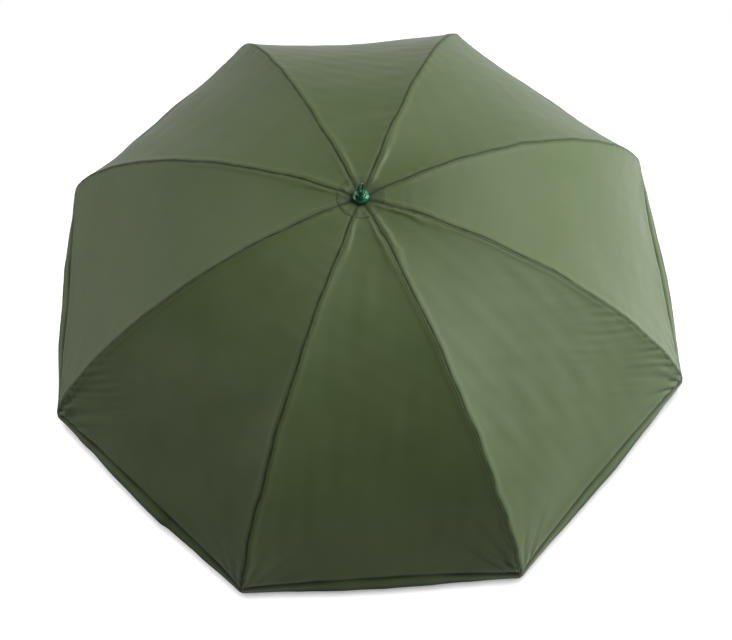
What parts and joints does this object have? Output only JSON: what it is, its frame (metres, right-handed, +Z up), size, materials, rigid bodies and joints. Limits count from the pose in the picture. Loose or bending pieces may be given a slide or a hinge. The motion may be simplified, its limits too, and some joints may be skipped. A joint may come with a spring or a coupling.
{
  "type": "fishing umbrella",
  "caption": "Domed nylon fishing umbrella on folding ribs, with a telescopic pole, a tilt joint, a ground spike and a crown finial with a hanging eye.",
  "frame": {"origin": "centre of the flat underside of the ground flange, at ground level, where the spike leaves it", "axes": "+Z up along the pole, +Y the way the canopy tilts towards, +X the side of the two hand screws"},
  "size_m": [1.9762, 1.9762, 2.6509],
  "materials": {
    "canopy_cloth": "coated nylon weave with a soft sheen",
    "patch_cloth": "doubled nylon weave",
    "finial_plastic": "moulded, glossy",
    "black_plastic": "moulded nylon, satin",
    "rib_fibre": "drawn glass fibre rod, satin",
    "black_steel": "stoved black enamel",
    "bright_steel": "zinc plated",
    "pole_aluminium": "satin anodised"
  },
  "bodies": {
    "ground": {"lower_tube": "pole_aluminium", "lower_tube_plug": "black_plastic", "ground_socket": "black_plastic", "ground_spike": "bright_steel"},
    "middle_pole": {"middle_tube": "pole_aluminium", "height_clamp": "black_plastic", "tilt_base": "black_plastic"},
    "height_screw": {"height_screw": "black_plastic"},
    "upper_pole": {"tilt_head": "black_plastic", "tilt_bolt": "bright_steel", "upper_tube": "pole_aluminium", "crown": "black_plastic", "crown_wire": "bright_steel", "crown_patch": "patch_cloth", "finial": "finial_plastic"},
    "tilt_knob": {"tilt_knob": "black_plastic"},
    "catch": {"catch_spring": "bright_steel"},
    "runner": {"runner": "black_plastic", "runner_wire": "bright_steel"},
    "rib_1": {"rib_1": "rib_fibre", "rib_tip_1": "black_plastic", "rib_bracket_1": "black_steel"},
    "stretcher_1": {"stretcher_1": "black_steel"},
    "panel_1": {"canopy_panel_1": "canopy_cloth"},
    "rib_2": {"rib_2": "rib_fibre", "rib_tip_2": "black_plastic", "rib_bracket_2": "black_steel"},
    "stretcher_2": {"stretcher_2": "black_steel"},
    "panel_2": {"canopy_panel_2": "canopy_cloth"},
    "rib_3": {"rib_3": "rib_fibre", "rib_tip_3": "black_plastic", "rib_bracket_3": "black_steel"},
    "stretcher_3": {"stretcher_3": "black_steel"},
    "panel_3": {"canopy_panel_3": "canopy_cloth"},
    "rib_4": {"rib_4": "rib_fibre", "rib_tip_4": "black_plastic", "rib_bracket_4": "black_steel"},
    "stretcher_4": {"stretcher_4": "black_steel"},
    "panel_4": {"canopy_panel_4": "canopy_cloth"},
    "rib_5": {"rib_5": "rib_fibre", "rib_tip_5": "black_plastic", "rib_bracket_5": "black_steel"},
    "stretcher_5": {"stretcher_5": "black_steel"},
    "panel_5": {"canopy_panel_5": "canopy_cloth"},
    "rib_6": {"rib_6": "rib_fibre", "rib_tip_6": "black_plastic", "rib_bracket_6": "black_steel"},
    "stretcher_6": {"stretcher_6": "black_steel"},
    "panel_6": {"canopy_panel_6": "canopy_cloth"},
    "rib_7": {"rib_7": "rib_fibre", "rib_tip_7": "black_plastic", "rib_bracket_7": "black_steel"},
    "stretcher_7": {"stretcher_7": "black_steel"},
    "panel_7": {"canopy_panel_7": "canopy_cloth"},
    "rib_8": {"rib_8": "rib_fibre", "rib_tip_8": "black_plastic", "rib_bracket_8": "black_steel"},
    "stretcher_8": {"stretcher_8": "black_steel"},
    "panel_8": {"canopy_panel_8": "canopy_cloth"}
  },
  "joints": [
    {"name": "height_slide", "type": "slide", "parent": "ground", "child": "middle_pole", "axis": [0, 0, 1], "range_m": [-0.33, 0.08]},
    {"name": "height_screw_turn", "type": "hinge", "parent": "middle_pole", "child": "height_screw", "pos_m": [0, 0, 0.4793], "axis": [1, 0, 0], "range_deg": [-360, 0]},
    {"name": "tilt", "type": "hinge", "parent": "middle_pole", "child": "upper_pole", "pos_m": [0, 0, 1.0506], "axis": [1, 0, 0], "range_deg": [-45, 0]},
    {"name": "tilt_knob_turn", "type": "hinge", "parent": "upper_pole", "child": "tilt_knob", "pos_m": [0, 0, 1.0506], "axis": [1, 0, 0], "range_deg": [-360, 0]},
    {"name": "catch_press", "type": "hinge", "parent": "upper_pole", "child": "catch", "pos_m": [0.0092, 0, 1.9879], "axis": [0, -1, 0], "range_deg": [0, 4.2], "stiffness_Nm_per_rad": 0.5},
    {"name": "rib_1_fold", "type": "hinge", "parent": "upper_pole", "child": "rib_1", "pos_m": [0.0087, 0.02237, 2.3316], "axis": [-0.9319, 0.3626, 0], "range_deg": [0, 62], "deforming": ["canopy_panel_1", "canopy_panel_2", "canopy_panel_3", "canopy_panel_4", "canopy_panel_5", "canopy_panel_6", "canopy_panel_7", "canopy_panel_8", "catch_spring"]},
    {"name": "rib_2_fold", "type": "hinge", "parent": "upper_pole", "child": "rib_2", "pos_m": [-0.00966, 0.02197, 2.3316], "axis": [-0.9154, -0.4026, 0], "range_deg": [0, 62]},
    {"name": "rib_3_fold", "type": "hinge", "parent": "upper_pole", "child": "rib_3", "pos_m": [-0.02237, 0.0087, 2.3316], "axis": [-0.3626, -0.9319, 0], "range_deg": [0, 62]},
    {"name": "rib_4_fold", "type": "hinge", "parent": "upper_pole", "child": "rib_4", "pos_m": [-0.02197, -0.00966, 2.3316], "axis": [0.4026, -0.9154, 0], "range_deg": [0, 62]},
    {"name": "rib_5_fold", "type": "hinge", "parent": "upper_pole", "child": "rib_5", "pos_m": [-0.0087, -0.02237, 2.3316], "axis": [0.9319, -0.3626, 0], "range_deg": [0, 62]},
    {"name": "rib_6_fold", "type": "hinge", "parent": "upper_pole", "child": "rib_6", "pos_m": [0.00966, -0.02197, 2.3316], "axis": [0.9154, 0.4026, 0], "range_deg": [0, 62]},
    {"name": "rib_7_fold", "type": "hinge", "parent": "upper_pole", "child": "rib_7", "pos_m": [0.02237, -0.0087, 2.3316], "axis": [0.3626, 0.9319, 0], "range_deg": [0, 62]},
    {"name": "rib_8_fold", "type": "hinge", "parent": "upper_pole", "child": "rib_8", "pos_m": [0.02197, 0.00966, 2.3316], "axis": [-0.4026, 0.9154, 0], "range_deg": [0, 62]},
    {"name": "stretcher_1_fold", "type": "hinge", "parent": "rib_1", "child": "stretcher_1", "pos_m": [0.21597, 0.55509, 2.2174], "axis": [-0.9319, 0.3626, 0], "range_deg": [-124, 0]},
    {"name": "stretcher_2_fold", "type": "hinge", "parent": "rib_2", "child": "stretcher_2", "pos_m": [-0.23979, 0.54523, 2.2174], "axis": [-0.9154, -0.4026, 0], "range_deg": [-124, 0]},
    {"name": "stretcher_3_fold", "type": "hinge", "parent": "rib_3", "child": "stretcher_3", "pos_m": [-0.55509, 0.21597, 2.2174], "axis": [-0.3626, -0.9319, 0], "range_deg": [-124, 0]},
    {"name": "stretcher_4_fold", "type": "hinge", "parent": "rib_4", "child": "stretcher_4", "pos_m": [-0.54523, -0.23979, 2.2174], "axis": [0.4026, -0.9154, 0], "range_deg": [-124, 0]},
    {"name": "stretcher_5_fold", "type": "hinge", "parent": "rib_5", "child": "stretcher_5", "pos_m": [-0.21597, -0.55509, 2.2174], "axis": [0.9319, -0.3626, 0], "range_deg": [-124, 0]},
    {"name": "stretcher_6_fold", "type": "hinge", "parent": "rib_6", "child": "stretcher_6", "pos_m": [0.23979, -0.54523, 2.2174], "axis": [0.9154, 0.4026, 0], "range_deg": [-124, 0]},
    {"name": "stretcher_7_fold", "type": "hinge", "parent": "rib_7", "child": "stretcher_7", "pos_m": [0.55509, -0.21597, 2.2174], "axis": [0.3626, 0.9319, 0], "range_deg": [-124, 0]},
    {"name": "stretcher_8_fold", "type": "hinge", "parent": "rib_8", "child": "stretcher_8", "pos_m": [0.54523, 0.23979, 2.2174], "axis": [-0.4026, 0.9154, 0], "range_deg": [-124, 0]},
    {"name": "runner_travel", "type": "hinge", "parent": "stretcher_1", "child": "runner", "pos_m": [0.0087, 0.02237, 2.1032], "axis": [-0.9319, 0.3626, 0], "range_deg": [0, 62]},
    {"name": "panel_1_fold", "type": "hinge", "parent": "rib_1", "child": "panel_1", "pos_m": [-0.00056, 0.02597, 2.3316], "axis": [0.0189, -0.8741, -0.4854], "range_deg": [0, 45.47]},
    {"name": "panel_2_fold", "type": "hinge", "parent": "rib_2", "child": "panel_2", "pos_m": [-0.01876, 0.01797, 2.3316], "axis": [0.6315, -0.6047, -0.4854], "range_deg": [0, 45.47]},
    {"name": "panel_3_fold", "type": "hinge", "parent": "rib_3", "child": "panel_3", "pos_m": [-0.02597, -0.00056, 2.3316], "axis": [0.8741, 0.0189, -0.4854], "range_deg": [0, 45.47]},
    {"name": "panel_4_fold", "type": "hinge", "parent": "rib_4", "child": "panel_4", "pos_m": [-0.01797, -0.01876, 2.3316], "axis": [0.6047, 0.6315, -0.4854], "range_deg": [0, 45.47]},
    {"name": "panel_5_fold", "type": "hinge", "parent": "rib_5", "child": "panel_5", "pos_m": [0.00056, -0.02597, 2.3316], "axis": [-0.0189, 0.8741, -0.4854], "range_deg": [0, 45.47]},
    {"name": "panel_6_fold", "type": "hinge", "parent": "rib_6", "child": "panel_6", "pos_m": [0.01876, -0.01797, 2.3316], "axis": [-0.6315, 0.6047, -0.4854], "range_deg": [0, 45.47]},
    {"name": "panel_7_fold", "type": "hinge", "parent": "rib_7", "child": "panel_7", "pos_m": [0.02597, 0.00056, 2.3316], "axis": [-0.8741, -0.0189, -0.4854], "range_deg": [0, 45.47]},
    {"name": "panel_8_fold", "type": "hinge", "parent": "rib_8", "child": "panel_8", "pos_m": [0.01797, 0.01876, 2.3316], "axis": [-0.6047, -0.6315, -0.4854], "range_deg": [0, 45.47]}
  ],
  "couplings": [
    {"joint": "rib_2_fold", "follows": "rib_1_fold", "ratio": 1},
    {"joint": "rib_3_fold", "follows": "rib_1_fold", "ratio": 1},
    {"joint": "rib_4_fold", "follows": "rib_1_fold", "ratio": 1},
    {"joint": "rib_5_fold", "follows": "rib_1_fold", "ratio": 1},
    {"joint": "rib_6_fold", "follows": "rib_1_fold", "ratio": 1},
    {"joint": "rib_7_fold", "follows": "rib_1_fold", "ratio": 1},
    {"joint": "rib_8_fold", "follows": "rib_1_fold", "ratio": 1},
    {"joint": "stretcher_1_fold", "follows": "rib_1_fold", "ratio": -2},
    {"joint": "stretcher_2_fold", "follows": "rib_1_fold", "ratio": -2},
    {"joint": "stretcher_3_fold", "follows": "rib_1_fold", "ratio": -2},
    {"joint": "stretcher_4_fold", "follows": "rib_1_fold", "ratio": -2},
    {"joint": "stretcher_5_fold", "follows": "rib_1_fold", "ratio": -2},
    {"joint": "stretcher_6_fold", "follows": "rib_1_fold", "ratio": -2},
    {"joint": "stretcher_7_fold", "follows": "rib_1_fold", "ratio": -2},
    {"joint": "stretcher_8_fold", "follows": "rib_1_fold", "ratio": -2},
    {"joint": "runner_travel", "follows": "rib_1_fold", "ratio": 1},
    {"joint": "panel_1_fold", "follows": "rib_1_fold", "ratio": 0.73337},
    {"joint": "panel_2_fold", "follows": "rib_1_fold", "ratio": 0.73337},
    {"joint": "panel_3_fold", "follows": "rib_1_fold", "ratio": 0.73337},
    {"joint": "panel_4_fold", "follows": "rib_1_fold", "ratio": 0.73337},
    {"joint": "panel_5_fold", "follows": "rib_1_fold", "ratio": 0.73337},
    {"joint": "panel_6_fold", "follows": "rib_1_fold", "ratio": 0.73337},
    {"joint": "panel_7_fold", "follows": "rib_1_fold", "ratio": 0.73337},
    {"joint": "panel_8_fold", "follows": "rib_1_fold", "ratio": 0.73337}
  ]
}
